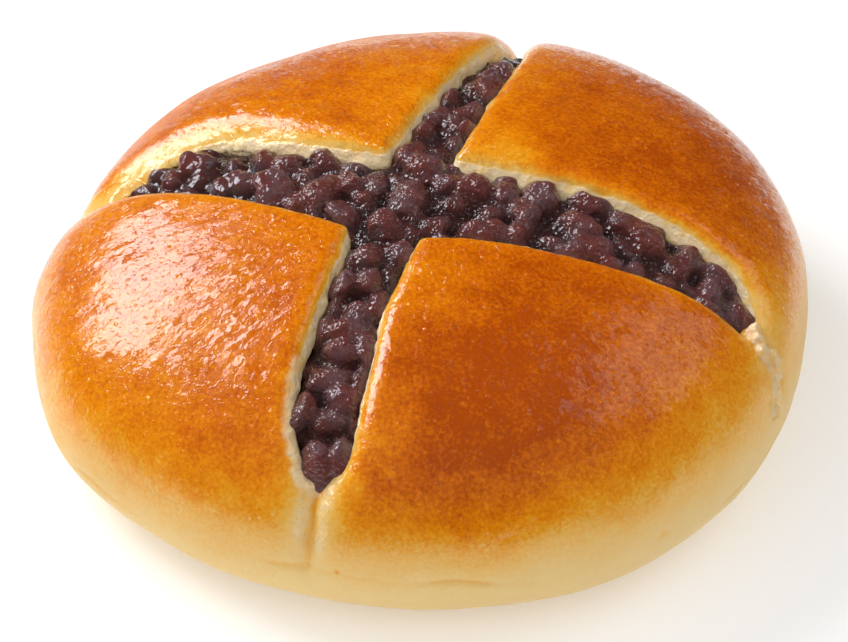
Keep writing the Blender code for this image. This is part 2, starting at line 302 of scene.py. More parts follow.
# %% Make the cutter and bend it along the crown
CUT_DEPTH, CUT_HEIGHT = 6.0, 3.0  # how far the cutter reaches under and over the crown
SLICE = 3.0  # the width of its rows
SLICE_START = 0.37  # as a share of a row, so that no slice meets a point of the outline


def shape_cutter():
    """The space of the cut, from under the flaps to over the crown."""
    rims = {-1: cut_outline(CUT_DEPTH), 1: cut_outline(-CUT_HEIGHT)}
    heights = {-1: -CUT_DEPTH, 1: CUT_HEIGHT}
    sides = len(rims[1])
    bpy.ops.object.select_all(action="DESELECT")
    bpy.ops.mesh.primitive_cylinder_add(vertices=sides, radius=1, depth=2, end_fill_type="NGON")
    cutter = bpy.context.object
    places = []
    for x, y, z in points_of(cutter) * MM:
        level = 1 if z > 0 else -1
        side = round((math.pi / 2 - math.atan2(y, x)) / (2 * math.pi) * sides) % sides
        corner = rims[level][-side % sides]
        places.append((corner.x, corner.y, heights[level]))
    move_points(cutter, np.array(places))
    bpy.ops.object.mode_set(mode="EDIT")
    rows = int(BUN_RADIUS / SLICE)
    for k in range(-rows, rows + 1):
        place = (k + SLICE_START) * SLICE * MM
        for across in ((1, 0, 0), (0, 1, 0)):
            bpy.ops.mesh.select_all(action="SELECT")
            bpy.ops.mesh.bisect(plane_co=[place * v for v in across], plane_no=across)
    bpy.ops.mesh.select_all(action="SELECT")
    bpy.ops.mesh.quads_convert_to_tris()
    bpy.ops.mesh.normals_make_consistent(inside=False)
    bpy.ops.object.mode_set(mode="OBJECT")
    bent = points_of(cutter)
    bent[:, 2] += crown_height(bent[:, 0], bent[:, 1])
    move_points(cutter, bent)
    return cutter


cutter = shape_cutter()
print("cutter:", len(cutter.data.polygons), "faces")

# %% [markdown]
# ## Room for the filling
#
# The paste is a flat cake that follows the crown from below, and its floor dips like a shallow bowl. The same
# function shapes the room in the dough and, a little smaller, the cake itself, so the two never collide. The
# paste is heaped a little where the arms of the cut meet.

# %% The cake of paste, and the room it needs
PASTE_RADIUS = 42.5
PASTE_FLOOR = 15.0
PASTE_RIM = 3.0
PASTE_BOWL_POWER = 3.2
CLEARANCE = 0.45
HEAP_HEIGHT, HEAP_RADIUS = 1.2, 13.0
CUT_MIDDLE = (-2.0, -2.6)
CAKE_SECTORS, CAKE_RINGS = 120, 60


def from_cut_middle(x, y):
    """How far a point lies from where the arms of the cut meet."""
    return np.hypot(x - CUT_MIDDLE[0], y - CUT_MIDDLE[1])


def paste_top(x, y):
    """The height of the filling's upper side, before its beans."""
    heap = HEAP_HEIGHT * bell(from_cut_middle(x, y), HEAP_RADIUS)
    return crown_height(x, y) - FLAP_THICKNESS - CLEARANCE + heap


def shape_cake(name, grown=0.0):
    """The flat cake of paste, or with grown the room that it needs."""
    cake, ball = new_sphere(name, CAKE_SECTORS, CAKE_RINGS)
    angle = np.arctan2(ball[:, 1], ball[:, 0])
    share = np.hypot(ball[:, 0], ball[:, 1])
    rim = PASTE_RADIUS * reach(angle) / BUN_RADIUS
    radius = share * (rim + grown)
    x, y = radius * np.cos(angle), radius * np.sin(angle)
    top = paste_top(x, y) + grown
    edge = paste_top(rim * np.cos(angle), rim * np.sin(angle)) - PASTE_RIM
    floor = PASTE_FLOOR + (edge - PASTE_FLOOR) * share**PASTE_BOWL_POWER - grown
    upper = ball[:, 2] > -1e-4  # the sphere's middle ring included
    move_points(cake, np.column_stack((x, y, np.where(upper, top, floor))))
    return cake


room = shape_cake("room", CLEARANCE)
for tool in (room, cutter):
    apply_modifier(dough, "BOOLEAN", operation="DIFFERENCE", object=tool, solver="EXACT")
    bpy.data.objects.remove(tool)
print("cut dough:", len(dough.data.polygons), "faces")

# %% [markdown]
# ## One soft skin
#
# Dough has no sharp corners. A voxel remesh turns the cut solid into one even skin, and smoothing rounds the
# lips and corners of the flaps.

# %% Remesh and smooth the dough
DOUGH_VOXEL = 0.42
DOUGH_SMOOTHING = 18

apply_modifier(dough, "REMESH", mode="VOXEL", voxel_size=DOUGH_VOXEL * MM)
apply_modifier(dough, "SMOOTH", factor=0.5, iterations=DOUGH_SMOOTHING)
print("remeshed dough:", triangles(dough), "triangles")

# %% [markdown]
# ## Torn flakes at the right tip, and a plug at the front
#
# Where the knife left the dough at the right, the crumb tore, and a ragged ribbon of it stands up along the
# tear, pale and thin. It is a row of small lumps, each a sphere that is stretched and roughened with noise.
# One smoother lump closes the cut at the front tip, where the two flaps hold together. All are added after
# the smoothing, which would melt them away, and a second remesh makes them grow out of the dough.

# %% Add the flakes and the plug
FLAKES = (  # middle and size in millimetres, from the paste's end downwards
    ((44.8, -5.2, 23.2), (2.8, 2.8, 2.8)),
    ((45.8, -6.5, 21.9), (2.8, 2.6, 2.6)),
    ((47.1, -6.3, 20.6), (2.2, 2.6, 2.2)),
    ((47.5, -7.2, 19.2), (2.0, 2.2, 3.2)),
    ((47.8, -8.4, 17.6), (1.7, 1.8, 2.6)),
    ((48.0, -10.2, 15.7), (1.5, 2.0, 3.0)),
)
FLAKE_ROUGH, FLAKE_LENGTH = 0.8, 0.8
FRONT_PLUG = ((0.3, -46.0, 20.1), (3.0, 2.6, 4.0))
PLUG_ROUGH, PLUG_LENGTH, PLUG_SEED = 0.2, 1.6, 9
FLAKE_SMOOTHING = 2


def shape_lump(name, middle, size, turn, rough, length, seed, detail=24):
    """An uneven oval lump: its size along its own axes, how it is turned, and how rough it is."""
    lump, ball = new_sphere(name, detail, detail * 2 // 3)
    swollen = ball * (1 + rough * ripple(ball * np.array(size) / 2, length, seed)[:, None])
    place = np.array(Euler(turn).to_matrix())
    move_points(lump, (swollen * np.array(size) / 2) @ place.T + np.array(middle))
    return lump


flakes = [
    shape_lump(f"flake_{k}", middle, size, (0.3, 0.2, k), FLAKE_ROUGH, FLAKE_LENGTH, k + 1)
    for k, (middle, size) in enumerate(FLAKES)
]
plug = shape_lump("front_plug", *FRONT_PLUG, (0, 0, 0), PLUG_ROUGH, PLUG_LENGTH, PLUG_SEED)
pick(dough, *flakes, plug)
bpy.ops.object.join()
apply_modifier(dough, "REMESH", mode="VOXEL", voxel_size=DOUGH_VOXEL * MM)
apply_modifier(dough, "SMOOTH", factor=0.5, iterations=FLAKE_SMOOTHING)
print("dough with flakes:", triangles(dough), "triangles")

# %% [markdown]
# ## Where each point lies
#
# Crust, lips, walls and hollow are all one mesh now, and each is finished in its own way. A point's place
# tells them apart: how deep it lies under the uncut bun's skin, and how far it is from the cut in plan.

# %% Measure depth and distance from the cut
def skin_depth(points):
    """How deep each point lies under the uncut bun's skin, and the way out from there."""
    x, y, z = points.T
    radius, angle = np.hypot(x, y), np.arctan2(y, x)
    full = reach(angle)
    tall = BUN_HEIGHT - WIDEST_HEIGHT
    foot = FOOT_RADIUS / BUN_RADIUS
    upper = z >= WIDEST_HEIGHT
    out = np.where(upper, radius / full, np.maximum(radius / full - foot, 0) / (1 - foot))
    wide = np.where(upper, full, full * (1 - foot))
    rise = np.where(upper, (z - WIDEST_HEIGHT) / tall, (WIDEST_HEIGHT - z) / WIDEST_HEIGHT)
    high = np.where(upper, tall, -WIDEST_HEIGHT)
    power = np.where(upper, CROWN_POWER, SIDE_POWER)
    size = np.maximum(out**power + rise**power, 1e-9) ** (1 / power)
    slope_out = (out / size) ** (power - 1) / wide
    slope_up = (rise / size) ** (power - 1) / high
    steep = np.hypot(slope_out, slope_up)
    way = np.column_stack((slope_out * np.cos(angle), slope_out * np.sin(angle), slope_up))
    return (1 - size) / steep, way / steep[:, None]


def distance_from_cut(points, depth=0):
    """The distance in plan from the cut's outline at a depth: above 0 on the flaps, below 0 in the cut."""
    line = np.array([tuple(point) for point in cut_outline(depth)])
    x, y = points[:, 0], points[:, 1]
    nearest = np.full(len(points), 1e9)
    inside = np.zeros(len(points), bool)
    for (ax, ay), (bx, by) in zip(line, np.roll(line, -1, axis=0)):
        run, climb = bx - ax, by - ay
        share = np.clip(((x - ax) * run + (y - ay) * climb) / (run**2 + climb**2), 0, 1)
        nearest = np.minimum(nearest, np.hypot(x - ax - share * run, y - ay - share * climb))
        crossing = (ay > y) != (by > y)
        if ay != by:
            inside ^= crossing & (x < ax + (y - ay) / climb * run)
    return np.where(inside, -nearest, nearest)


points = points_of(dough)
depth, way_out = skin_depth(points)
depth_before = depth
cut_distance = distance_from_cut(points)
print("points in the cut:", int((cut_distance < 0).sum()), "of", len(points))

# %% [markdown]
# ## Crust and lips
#
# The smoothing has shrunk the crust a little, so its points go back out to the bun's curve. Beside the cut
# the crust rolls over into a soft lip instead. The lip is wider along the left arm, where the flap behind it
# has opened most.

# %% Put the crust back on the bun's curve, and roll its lips over
CRUST_DEPTH = (0.3, 0.7)  # crust lies less deep than this
CRUST_FROM_CUT = (0.8, 2.4)
CRUST_HEIGHT = (1.0, 3.0)
LIP_DROP, LIP_REACH = 0.8, 3.0
LIP_HEIGHT, LIP_DEPTH = (13, 16), (1.5, 3.5)
WIDE_LIP = 0.7  # how much wider the lip is along the left arm
WIDE_FROM_X, WIDE_BEHIND_Y = (-8, -28), -2

on_crust = (1 - smoothstep(*CRUST_DEPTH, np.abs(depth))) * smoothstep(*CRUST_FROM_CUT, cut_distance)
on_crust *= smoothstep(*CRUST_HEIGHT, points[:, 2])
points += way_out * (depth * on_crust)[:, None]
above = smoothstep(*LIP_HEIGHT, points[:, 2])
wide = 1 + WIDE_LIP * smoothstep(*WIDE_FROM_X, points[:, 0]) * (points[:, 1] > WIDE_BEHIND_Y)
near = 1 - smoothstep(-0.5, LIP_REACH * wide, cut_distance)
points -= way_out * (LIP_DROP * wide * near**2 * above * (1 - smoothstep(*LIP_DEPTH, depth)))[:, None]
depth = skin_depth(points)[0]
print("crust points:", int(on_crust.sum()), "of", len(points))

# %% [markdown]
# ## What hands, heat and the knife leave
#
# Past each tip of the cut two flaps meet in a crease that runs down the side. Low folds run round the side
# where the dough was gathered. Both are drawn as lines on the bun: a point is moved in by how near it is to
# the line, and the same nearness later darkens the bottom of the crease and the fold as painted shade.

# %% Where the creases and the folds run
CREASES = {  # how deep, how wide, and the height where it has faded out and where it is full, in millimetres
    "right": (0.9, 1.2, 13, 18),
    "back": (3.4, 2.2, 3, 12),
    "left": (2.0, 1.6, 6, 14),
    "front": (2.3, 1.2, 8, 17),
}
CREASE_FROM_MIDDLE = (34, 44)
CREASE_ROUNDING = 0.04
CREASE_WANDER = (0.8, 4.0, 3)
# The dark line along the bottom of a crease is painted shade.
CREASE_SHADE_WIDTH, CREASE_SHADE_DEPTH = 0.6, 2  # the dark line, and how deep a crease shows it in full
FOLDS = (  # from and to in degrees round the bun, height at both ends, and depth in millimetres
    (-100, -52, 11.6, 9.4, 0.38),
    (-64, -50, 17.4, 16.8, 0.12),
    (-30, 20, 8.5, 9.5, 0.30),
    (40, 110, 9.0, 10.5, 0.30),
    (128, 176, 10.5, 8.5, 0.30),
    (190, 246, 8.0, 9.5, 0.30),
)
FOLD_WIDTH, FOLD_ARCH = 0.45, 1.2
FOLD_WAVER = (0.9, 9.0, 5)
FOLD_BREAKS = (1.0, 7.0, 6)  # a fold comes and goes along its length


def crease_marks(points):
    """How far the creases draw each point in, and 0 to 1 for the painted shade along the bottom of one."""
    dent, line = np.zeros(len(points)), np.zeros(len(points))
    wander = layered(points * np.array((0, 0, 1)), [CREASE_WANDER])
    for name, (deep, wide, low, high) in CREASES.items():
        way = tip_of(name).normalized()
        along = way.x * points[:, 0] + way.y * points[:, 1]
        across = np.abs(way.x * points[:, 1] - way.y * points[:, 0] - wander)
        held = smoothstep(*CREASE_FROM_MIDDLE, along) * smoothstep(low, high, points[:, 2])
        dent += deep * np.exp(-np.sqrt(across**2 + CREASE_ROUNDING) / wide) * held
        # This line is painted shade along the crease's bottom.
        line += min(1, deep / CREASE_SHADE_DEPTH) * bell(across, CREASE_SHADE_WIDTH) * held
    return dent, line


def fold_marks(points):
    """0 to 1 for how near each point is to a fold round the side, times the fold's depth."""
    angle = np.degrees(np.arctan2(points[:, 1], points[:, 0]))
    waver = layered(points, [FOLD_WAVER])
    strength = 0.35 + 0.65 * smoothstep(-0.25, 0.25, layered(points, [FOLD_BREAKS]))
    marks = np.zeros(len(points))
    for start, end, low, high, deep in FOLDS:
        share = ((angle - start) % 360) / (end - start)
        here = np.clip(share, 0, 1)
        height = low + (high - low) * here + FOLD_ARCH * np.sin(here * math.pi) + waver
        held = smoothstep(0, 0.2, share) * (1 - smoothstep(0.8, 1, share))
        held *= strength
        marks += deep * held * bell(points[:, 2] - height, FOLD_WIDTH)
    return marks


dent, crease_shade_line = crease_marks(points)
fold = fold_marks(points) * (1 - smoothstep(1, 2, depth))
print("deepest crease:", round(float(dent.max()), 1), "mm, deepest fold:", round(float(fold.max()), 2), "mm")

# %% [markdown]
# ## Swells, crumb and waves
#
# Slow swells come from shaping by hand, and two pushes widen the bun where the real one bulges. The cut
# walls are soft crumb, so they bulge and crumble, and those that look to the front puff out into the cut. The
# crust dried in the oven, which left it with fine waves. All of these move the remeshed skin's own points.

# %% Move the skin
SWELL, SWELL_LENGTH = 0.5, 24
PUSHES = ((160, 11, 0.5), (-2, 8, 0.5))  # direction and spread in degrees, and how far out in millimetres
PUSH_HEIGHT = (4, 12)
WALL_STARTS, WALL_ENDS, WALL_FROM_CUT = (0.6, 1.6), (4.6, 5.6), (0.6, 1.4)
CRUMB = ((0.4, 3.4, 7), (0.16, 1.3, 8))
CRUMB_PUFF, PUFF_DEPTH = 1.0, (1.0, 3.2)
PUFF_RIGHT = 0.35  # how much the walls that look to the right puff, beside those that look to the front
WAVES = ((0.10, 7.0, 11), (0.03, 3.0, 12))


def degrees_off(points, way):
    """How many degrees round the bun each point is from this direction."""
    return (np.degrees(np.arctan2(points[:, 1], points[:, 0])) - way + 180) % 360 - 180


from_axis = np.hypot(points[:, 0], points[:, 1])
share = np.clip(from_axis / reach(np.arctan2(points[:, 1], points[:, 0])), 0, 1)
flat = from_axis + 1e-9
outward = np.column_stack((points[:, 0] / flat, points[:, 1] / flat, np.zeros(len(points))))
outward *= share[:, None] ** 3
outward[:, 2] = 1 - share**3
swell = SWELL * ripple(points, SWELL_LENGTH) * smoothstep(0, WIDEST_HEIGHT, points[:, 2])
for way, spread, far in PUSHES:
    swell += far * bell(degrees_off(points, way), spread) * smoothstep(*PUSH_HEIGHT, points[:, 2])
in_cut = above * smoothstep(*WALL_STARTS, depth) * (1 - smoothstep(*WALL_ENDS, depth))
in_cut *= 1 - smoothstep(*WALL_FROM_CUT, cut_distance)
move_points(dough, points)
facing = normals_of(dough)
frontwards = np.clip(-facing[:, 1] + PUFF_RIGHT * np.maximum(facing[:, 0], 0), 0, 1)
crumb = layered(points, CRUMB)
crumb += CRUMB_PUFF * smoothstep(*PUFF_DEPTH, depth) * frontwards
waves = layered(points, WAVES)
points += outward * (swell - dent)[:, None]
points += facing * (in_cut * crumb - fold)[:, None]
points += way_out * (waves * on_crust)[:, None]
move_points(dough, points)
print("wall points:", int(in_cut.sum()))

# %% [markdown]
# ## How brown each part of the crust is
#
# The top of a bun browns first, the side stays golden, and the foot and the cut stay pale. The oven isn't
# even: the front right flap is the darkest. Egg wash shines where it was brushed on, and the far left
# shoulder took none. Both are worked out once for each point, and the crust's material mixes its colours and
# its gloss by them.

# %% Browning and glaze
AROUND = (  # direction in degrees, where gold starts, where brown is full, and how brown it gets there
    (-160, 3, 24, 0.73), (-120, 3.5, 26, 0.72), (-98, 5, 27, 0.83), (-75, 8.5, 26, 1.0),
    (-48, 8.5, 30, 0.97), (-22, 8.5, 33, 0.93), (5, 7, 31.5, 0.88), (35, 6, 28, 0.93),
    (65, 6, 26, 0.82), (115, 1, 21, 0.7), (150, -6, 14, 0.76),
)
UNEVEN_EDGE = ((1.2, 9, 21), (0.6, 4, 24))
UNEVEN_TONE = ((0.06, 14, 22), (0.04, 5, 23))
# The spot at (-33, -17) browns the crust only where the key light's highlight falls on the front left flap,
# which tones that highlight down: it is painted shade.
SPOTS_AND_HIGHLIGHT_SHADE = (  # middle in plan, radius, and how much browner or paler
    (48.5, -8, 4, -0.3), (-33, -17, 9, 0.1), (6, -19, 9, -0.22), (6, -41, 7, -0.24), (18, -32, 9, 0.14),
    (-22, 18, 9, 0.08), (8, 6, 5, -0.4), (-12, -22, 11, 0.12), (46.5, -1.5, 5, -0.2), (-43, 3, 5, 0.05),
)
MARKS = (  # middle, radius, and how much browner: a pore, a dimple and two blisters
    ((4.0, -50.2, 12.5), 0.3, 0.8), ((40, -31.4, 11.6), 0.6, 0.3),
    ((8.5, -43.3, 24.5), 0.6, -0.25), ((5.2, -45.6, 23.0), 0.6, -0.2),
)
PALE_TIPS = {"back": 4.5, "left": 3.2, "front": 3.5}  # the radius of the pale dough past each tip
PAST_TIP = 1.02  # as a share of the tip's distance from the middle
SEAM_WIDTH, SEAM_PALENESS, SEAM_FROM_Y = 3.0, 0.85, (-38, -46)  # the pale seam below the front tip
SEAM_X, SEAM_Y, SEAM_SLANT, SEAM_WANDER = 0.2, -47, 0.02, (0.6, 2.0, 25)
LIP_PALENESS, LIP_EDGE, LIP_RAGGED = 0.55, (0.1, 1.3), (0.3, 1.6, 26)
RIM_PALENESS, RIM_WIDTH = 0.15, 2.5
WALL_MOTTLE, MOTTLED_FROM = (0.12, 2.0, 29), (0.1, 0.6)
DULL_WAY, DULL_SPREAD, DULL_UP_TO = 138, 38, (24, 28.5)
GLAZED_TONE = (0.15, 0.6)


def around(points, column):
    """One column of the table above, at each point's direction."""
    table = sorted(AROUND)
    angles = [row[0] for row in table]
    values = [row[column] for row in table]
    return np.interp(np.degrees(np.arctan2(points[:, 1], points[:, 0])), angles, values, period=360)


def paleness(points, depth, cut_distance):
    """0 to 1 for how pale each point stays by the tips and the front seam, and by its place on a lip."""
    x, y, _ = points.T
    pale = np.zeros(len(points))
    for name, radius in PALE_TIPS.items():
        tip = tip_of(name) * PAST_TIP
        pale = np.maximum(pale, bell(np.hypot(x - tip.x, y - tip.y), radius))
    across = x - SEAM_X - SEAM_SLANT * (y - SEAM_Y) + layered(points, [SEAM_WANDER])
    pale = np.maximum(pale, SEAM_PALENESS * bell(across, SEAM_WIDTH) * smoothstep(*SEAM_FROM_Y, y))
    lip = LIP_PALENESS * smoothstep(*LIP_EDGE, depth + layered(points, [LIP_RAGGED]))
    lip += RIM_PALENESS * bell(cut_distance, RIM_WIDTH)
    return pale, np.clip(lip, 0, 1)


def browning(points, depth, cut_distance):
    """0 for pale dough to 1 for the brownest crust, and 0 to 1 for how much egg glaze it has."""
    x, y, z = points.T
    rise = smoothstep(around(points, 1), around(points, 2), z + layered(points, UNEVEN_EDGE))
    tone = around(points, 3) + layered(points, UNEVEN_TONE)
    # One of these spots is painted shade under the key light's highlight.
    for u, v, radius, change in SPOTS_AND_HIGHLIGHT_SHADE:
        tone += change * bell(np.hypot(x - u, y - v), radius)
    pale, lip = paleness(points, depth, cut_distance)
    brown = rise * tone * (1 - pale) * (1 - lip)
    brown += smoothstep(*MOTTLED_FROM, depth) * layered(points, [WALL_MOTTLE])
    for middle, radius, change in MARKS:
        brown += change * bell(np.linalg.norm(points - np.array(middle), axis=1), radius)
    dull = bell(degrees_off(points, DULL_WAY), DULL_SPREAD, 4) * (1 - smoothstep(*DULL_UP_TO, z))
    return np.clip(brown, 0, 1), smoothstep(*GLAZED_TONE, rise * tone) * (1 - dull)


baked, glaze = browning(points, depth, cut_distance)
print("browning, on average:", round(float(baked.mean()), 2))

# %% [markdown]
# ## Where the crumb is torn
#
# Cut and torn dough shows its raw crumb: pale, matt and spongy. That is the walls of the cut, the flakes, the
# rims of the front arm, and the lips of the front crease on both sides of its line. The sloping end of the
# left arm lay open in the oven, so it is baked like the crust.

# %% Rawness
RAW_DEPTH, RAW_RAGGED, RAW_HEIGHT = (0.2, 0.95), 0.2, (12, 15)
RAGGED = (1.0, 1.6, 27)
SHELF_MIDDLE, SHELF_RADIUS, SHELF_BAKED = (-42, 0, 24), 13, 0.7  # the sloping end of the left arm
FRONT_LINE = 0.5  # divides the front arm into left and right
FRONT_RAW_LEFT, FRONT_RAW_RIGHT, RAW_FADE = -30, -43.5, -4  # from here forwards its rims are torn
TORN_RIM, TORN_REACH, TORN_RAGGED, TORN_HEIGHT = 0.62, (0.3, 1.8), 0.5, (17, 20)
CREASE_X, CREASE_RAGGED = 0.3, 0.4
CREASE_LIPS, LIPS_WIDTH, LIPS_FROM_Y, LIPS_HEIGHT = 0.5, 2.8, (-42, -46), (9, 16)
CREASE_GAP, GAP_WIDTH = 0.7, 0.5  # the line of the crease between its lips isn't torn
FLAKE_RAW, FLAKE_MARGIN, FLAKE_EDGE = 0.6, 0.25, (0.9, 1.25)


def flake_share(points):
    """1 on the flakes, 0 away from them."""
    share = np.zeros(len(points))
    for middle, size in FLAKES:
        radii = np.array(size) / 2 + FLAKE_MARGIN
        away = np.sqrt((((points - np.array(middle)) / radii) ** 2).sum(1))
        share = np.maximum(share, 1 - smoothstep(*FLAKE_EDGE, away))
    return share


def rawness(points, depth, cut_distance):
    """0 for baked skin to 1 for torn, unbaked crumb."""
    x, y, z = points.T
    ragged = layered(points, [RAGGED])
    raw = smoothstep(*RAW_DEPTH, depth + RAW_RAGGED * ragged) * smoothstep(*RAW_HEIGHT, z)
    from_shelf = ((points - np.array(SHELF_MIDDLE)) ** 2).sum(1)
    raw *= 1 - SHELF_BAKED * bell(from_shelf, SHELF_RADIUS**2)
    start = np.where(x < FRONT_LINE, FRONT_RAW_LEFT, FRONT_RAW_RIGHT)
    torn = TORN_RIM * (1 - smoothstep(*TORN_REACH, cut_distance + TORN_RAGGED * ragged))
    torn *= smoothstep(0, RAW_FADE, y - start)
    raw = np.maximum(raw, torn * smoothstep(*TORN_HEIGHT, z))
    beside = np.abs(x - CREASE_X) + CREASE_RAGGED * ragged
    lips = CREASE_LIPS * bell(beside, LIPS_WIDTH, 4) * (1 - CREASE_GAP * bell(beside, GAP_WIDTH))
    lips *= smoothstep(*LIPS_FROM_Y, y)
    raw = np.maximum(raw, lips * smoothstep(*LIPS_HEIGHT, z))
    return np.maximum(raw, FLAKE_RAW * flake_share(points))


raw = rawness(points, depth_before, cut_distance)
print("raw points:", int(raw.sum()), "of", len(points))

# %% Fluff the torn crumb, and keep the four numbers as attributes
FLUFF, FLUFF_DEPTH = (1.0, 1.2, 28), 4
CRUMB_FLUFF, FLAKE_TEAR = 0.18, 0.7  # how far the crumb and the flakes are roughened
# A fold's depth also darkens the crust along the fold as painted shade.
FOLD_SHADE_TONE = 1.2  # how much of a fold's depth counts as a crease


def keep_attribute(piece, name, values):
    """Stores one number for each point of the piece, for its material to read."""
    attribute = piece.data.attributes.new(name, "FLOAT", "POINT")
    attribute.data.foreach_set("value", np.asarray(values, np.float32))
    print(piece.name, "keeps", name, "up to", round(float(np.max(values)), 2))


torn = CRUMB_FLUFF * raw * (depth < FLUFF_DEPTH) + FLAKE_TEAR * flake_share(points)
points += facing * (torn * layered(points, [FLUFF]))[:, None]
move_points(dough, points)
keep_attribute(dough, "browning", baked)
keep_attribute(dough, "glaze", glaze)
keep_attribute(dough, "rawness", raw)
# The crease attribute carries the painted shade along the creases and folds.
keep_attribute(dough, "crease", np.clip(crease_shade_line + FOLD_SHADE_TONE * fold, 0, 1))

# %% [markdown]
# ## Fewer triangles where no one looks
#
# The remesh spent as many triangles on the hidden hollow as on the crust. A Decimate modifier collapses
# edges. Given a group of hidden points it starts with those, and a second one without a group brings the
# piece down to the number that is wanted.

# %% Thin out what is hidden
KEPT_TRIANGLES = 185000
HOLLOW_DEPTH, FLAP_INSIDE, FOOT_HEIGHT = (4.8, 6.0), (-1, 1), (0.5, 2.5)
FLOOR_DEPTH, FLOOR_UNDER = (6.0, 7.0), 2


def thin_out(piece, hidden):
    """Collapses edges until the piece has few enough triangles, first where it can't be seen."""
    group = piece.vertex_groups.new(name="hidden")
    for index in np.nonzero(hidden)[0]:
        group.add([int(index)], 1.0, "REPLACE")
    apply_modifier(piece, "TRIANGULATE")
    for where in ({"vertex_group": "hidden", "vertex_group_factor": 10}, {}):
        ratio = KEPT_TRIANGLES / triangles(piece)
        if ratio < 1:
            apply_modifier(piece, "DECIMATE", ratio=ratio, **where)
    piece.vertex_groups.clear()
    print(piece.name, "keeps", triangles(piece), "triangles")


under_flaps = smoothstep(*HOLLOW_DEPTH, depth) * smoothstep(*FLAP_INSIDE, cut_distance)
under_foot = 1 - smoothstep(*FOOT_HEIGHT, points[:, 2])
below_paste = points[:, 2] < paste_top(points[:, 0], points[:, 1]) - FLOOR_UNDER
hidden = np.maximum(np.maximum(under_flaps, under_foot), smoothstep(*FLOOR_DEPTH, depth) * below_paste)
thin_out(dough, hidden > 0.5)

# %% [markdown]
# ## The beans
#
# Coarse paste is half whole beans and half mash. Cooked azuki beans are 4.5 to 6 mm long, plump ovals with
# dented skins. Seeded darts scatter them over the cut so that no two start too close. Each bean is a sphere,
# stretched, turned and dented, and half sunk into the cake. They lie deeper by the walls of the left arm and
# towards the tip of the back arm, and two lumps of mash fill the front tip.

# %% Scatter the beans
BEAN_SIZE = np.array((6.4, 4.8, 4.4))
BEAN_RANGE = (0.7, 1.15)
BEAN_SPACING = 3.5
BEAN_SEED = 11
BEAN_TRIES = 14000
BEAN_OVERLAP = 0.6  # how far past the wall a bean's middle may lie
BEANS_WITHIN = (-38.5, 44.3, -43.5, 37.5)  # left, right, front and back
BEAN_DENTS, DENT_LENGTH = 0.28, 2.6
BEAN_DETAIL = 30
BEAN_TILT = 0.5
BEAN_SINK, SINK_CHANGES = 0.12, 0.14  # how deep beans lie and how much that changes, by their height
WALL_SINK, WALL_REACH, WALL_LEFT_OF = 0.22, (-3.0, -0.6), -20  # how much deeper they lie by the left walls
BACK_DIP, BACK_ARM = 1.6, (26, 37)  # the back arm's beans lie lower towards its tip
FRONT_LUMPS = (  # middle and size of the mash at the front tip
    ((0.4, -43.4, 20.3), (4.8, 3.8, 4.0)),
    ((0.5, -44.1, 20.0), (3.4, 2.2, 3.0)),
)
FRONT_LUMP_SEED = 40


def bean_places():
    """Where the beans lie in the cut, as (x, y, size, turn, distance from the wall below 0)."""
    draw = random.Random(BEAN_SEED)
    wide = (-BUN_RADIUS, BUN_RADIUS)
    darts = [
        (draw.uniform(*wide), draw.uniform(*wide), draw.uniform(*BEAN_RANGE), draw.uniform(0, math.pi))
        for _ in range(BEAN_TRIES)
    ]
    margin = distance_from_cut(np.array(darts), FLAP_THICKNESS)
    left, right, front, back = BEANS_WITHIN
    places = []
    for (x, y, size, turn), away in zip(darts, margin):
        if away > BEAN_OVERLAP or not (left < x < right and front < y < back):
            continue
        if all(math.hypot(x - u, y - v) > BEAN_SPACING * (size + s) / 2 for u, v, s, *_ in places):
            places.append((x, y, size, turn, float(away)))
    return places


beans = []
for number, (x, y, size, turn, away) in enumerate(bean_places()):
    by_wall = WALL_SINK * smoothstep(*WALL_REACH, away) * (x < WALL_LEFT_OF)
    lift = BEAN_SIZE[2] * (-BEAN_SINK - SINK_CHANGES * math.sin(3 * number) - by_wall)
    middle = (x, y, float(paste_top(x, y)) + lift - BACK_DIP * smoothstep(*BACK_ARM, y))
    tilt = (BEAN_TILT * math.sin(7 * number), BEAN_TILT * math.cos(5 * number), turn)
    form = (BEAN_SIZE * size, tilt, BEAN_DENTS, DENT_LENGTH, number, BEAN_DETAIL)
    beans.append(shape_lump(f"bean_{number}", middle, *form))
print("beans:", len(beans))
for number, (middle, size) in enumerate(FRONT_LUMPS):
    form = (size, (0, 0, 0), BEAN_DENTS, DENT_LENGTH, number + FRONT_LUMP_SEED, BEAN_DETAIL)
    beans.append(shape_lump(f"front_lump_{number}", middle, *form))
filling = shape_cake("beans_and_paste")
pick(filling, *beans)
bpy.ops.object.join()

# %% [markdown]
# ## Sticky paste
#
# A fine voxel remesh fuses cake and beans, as sticky paste does. The mash between the beans then rises, but
# less in the heap in the middle and not at the walls or at the back tip. Small folds wrinkle the skins, and
# a few sharp ridges stand where skins have split.

# %% Fuse the beans and the cake
FILLING_VOXEL = 0.32
FILLING_SMOOTHING = 5
CAKE_SIDE = 3  # how far below its upper side the cake still counts as shown
SHOWN_MARGIN = (0.0, 3.0)
PASTE_FOLDS = ((0.26, 2.2, 31), (0.12, 1.1, 32))
RIDGE_HEIGHT, RIDGE_SHARPNESS, RIDGE_DROP, RIDGES = 0.3, 6, 0.08, (1.0, 3.2, 33)
MASH_RISE, MASH_EDGE, MASH_RAGGED = 1.4, (-1.3, 0.6), (0.5, 3.0, 34)
HEAP_LESS, BACK_LESS = 0.6, 0.9  # how much less the mash rises in the heap and at the back tip

apply_modifier(filling, "REMESH", mode="VOXEL", voxel_size=FILLING_VOXEL * MM)
apply_modifier(filling, "SMOOTH", factor=0.5, iterations=FILLING_SMOOTHING)
print("remeshed filling:", triangles(filling), "triangles")


def on_top(points):
    """Whether each point belongs to the filling's upper side."""
    return points[:, 2] > paste_top(points[:, 0], points[:, 1]) - CAKE_SIDE


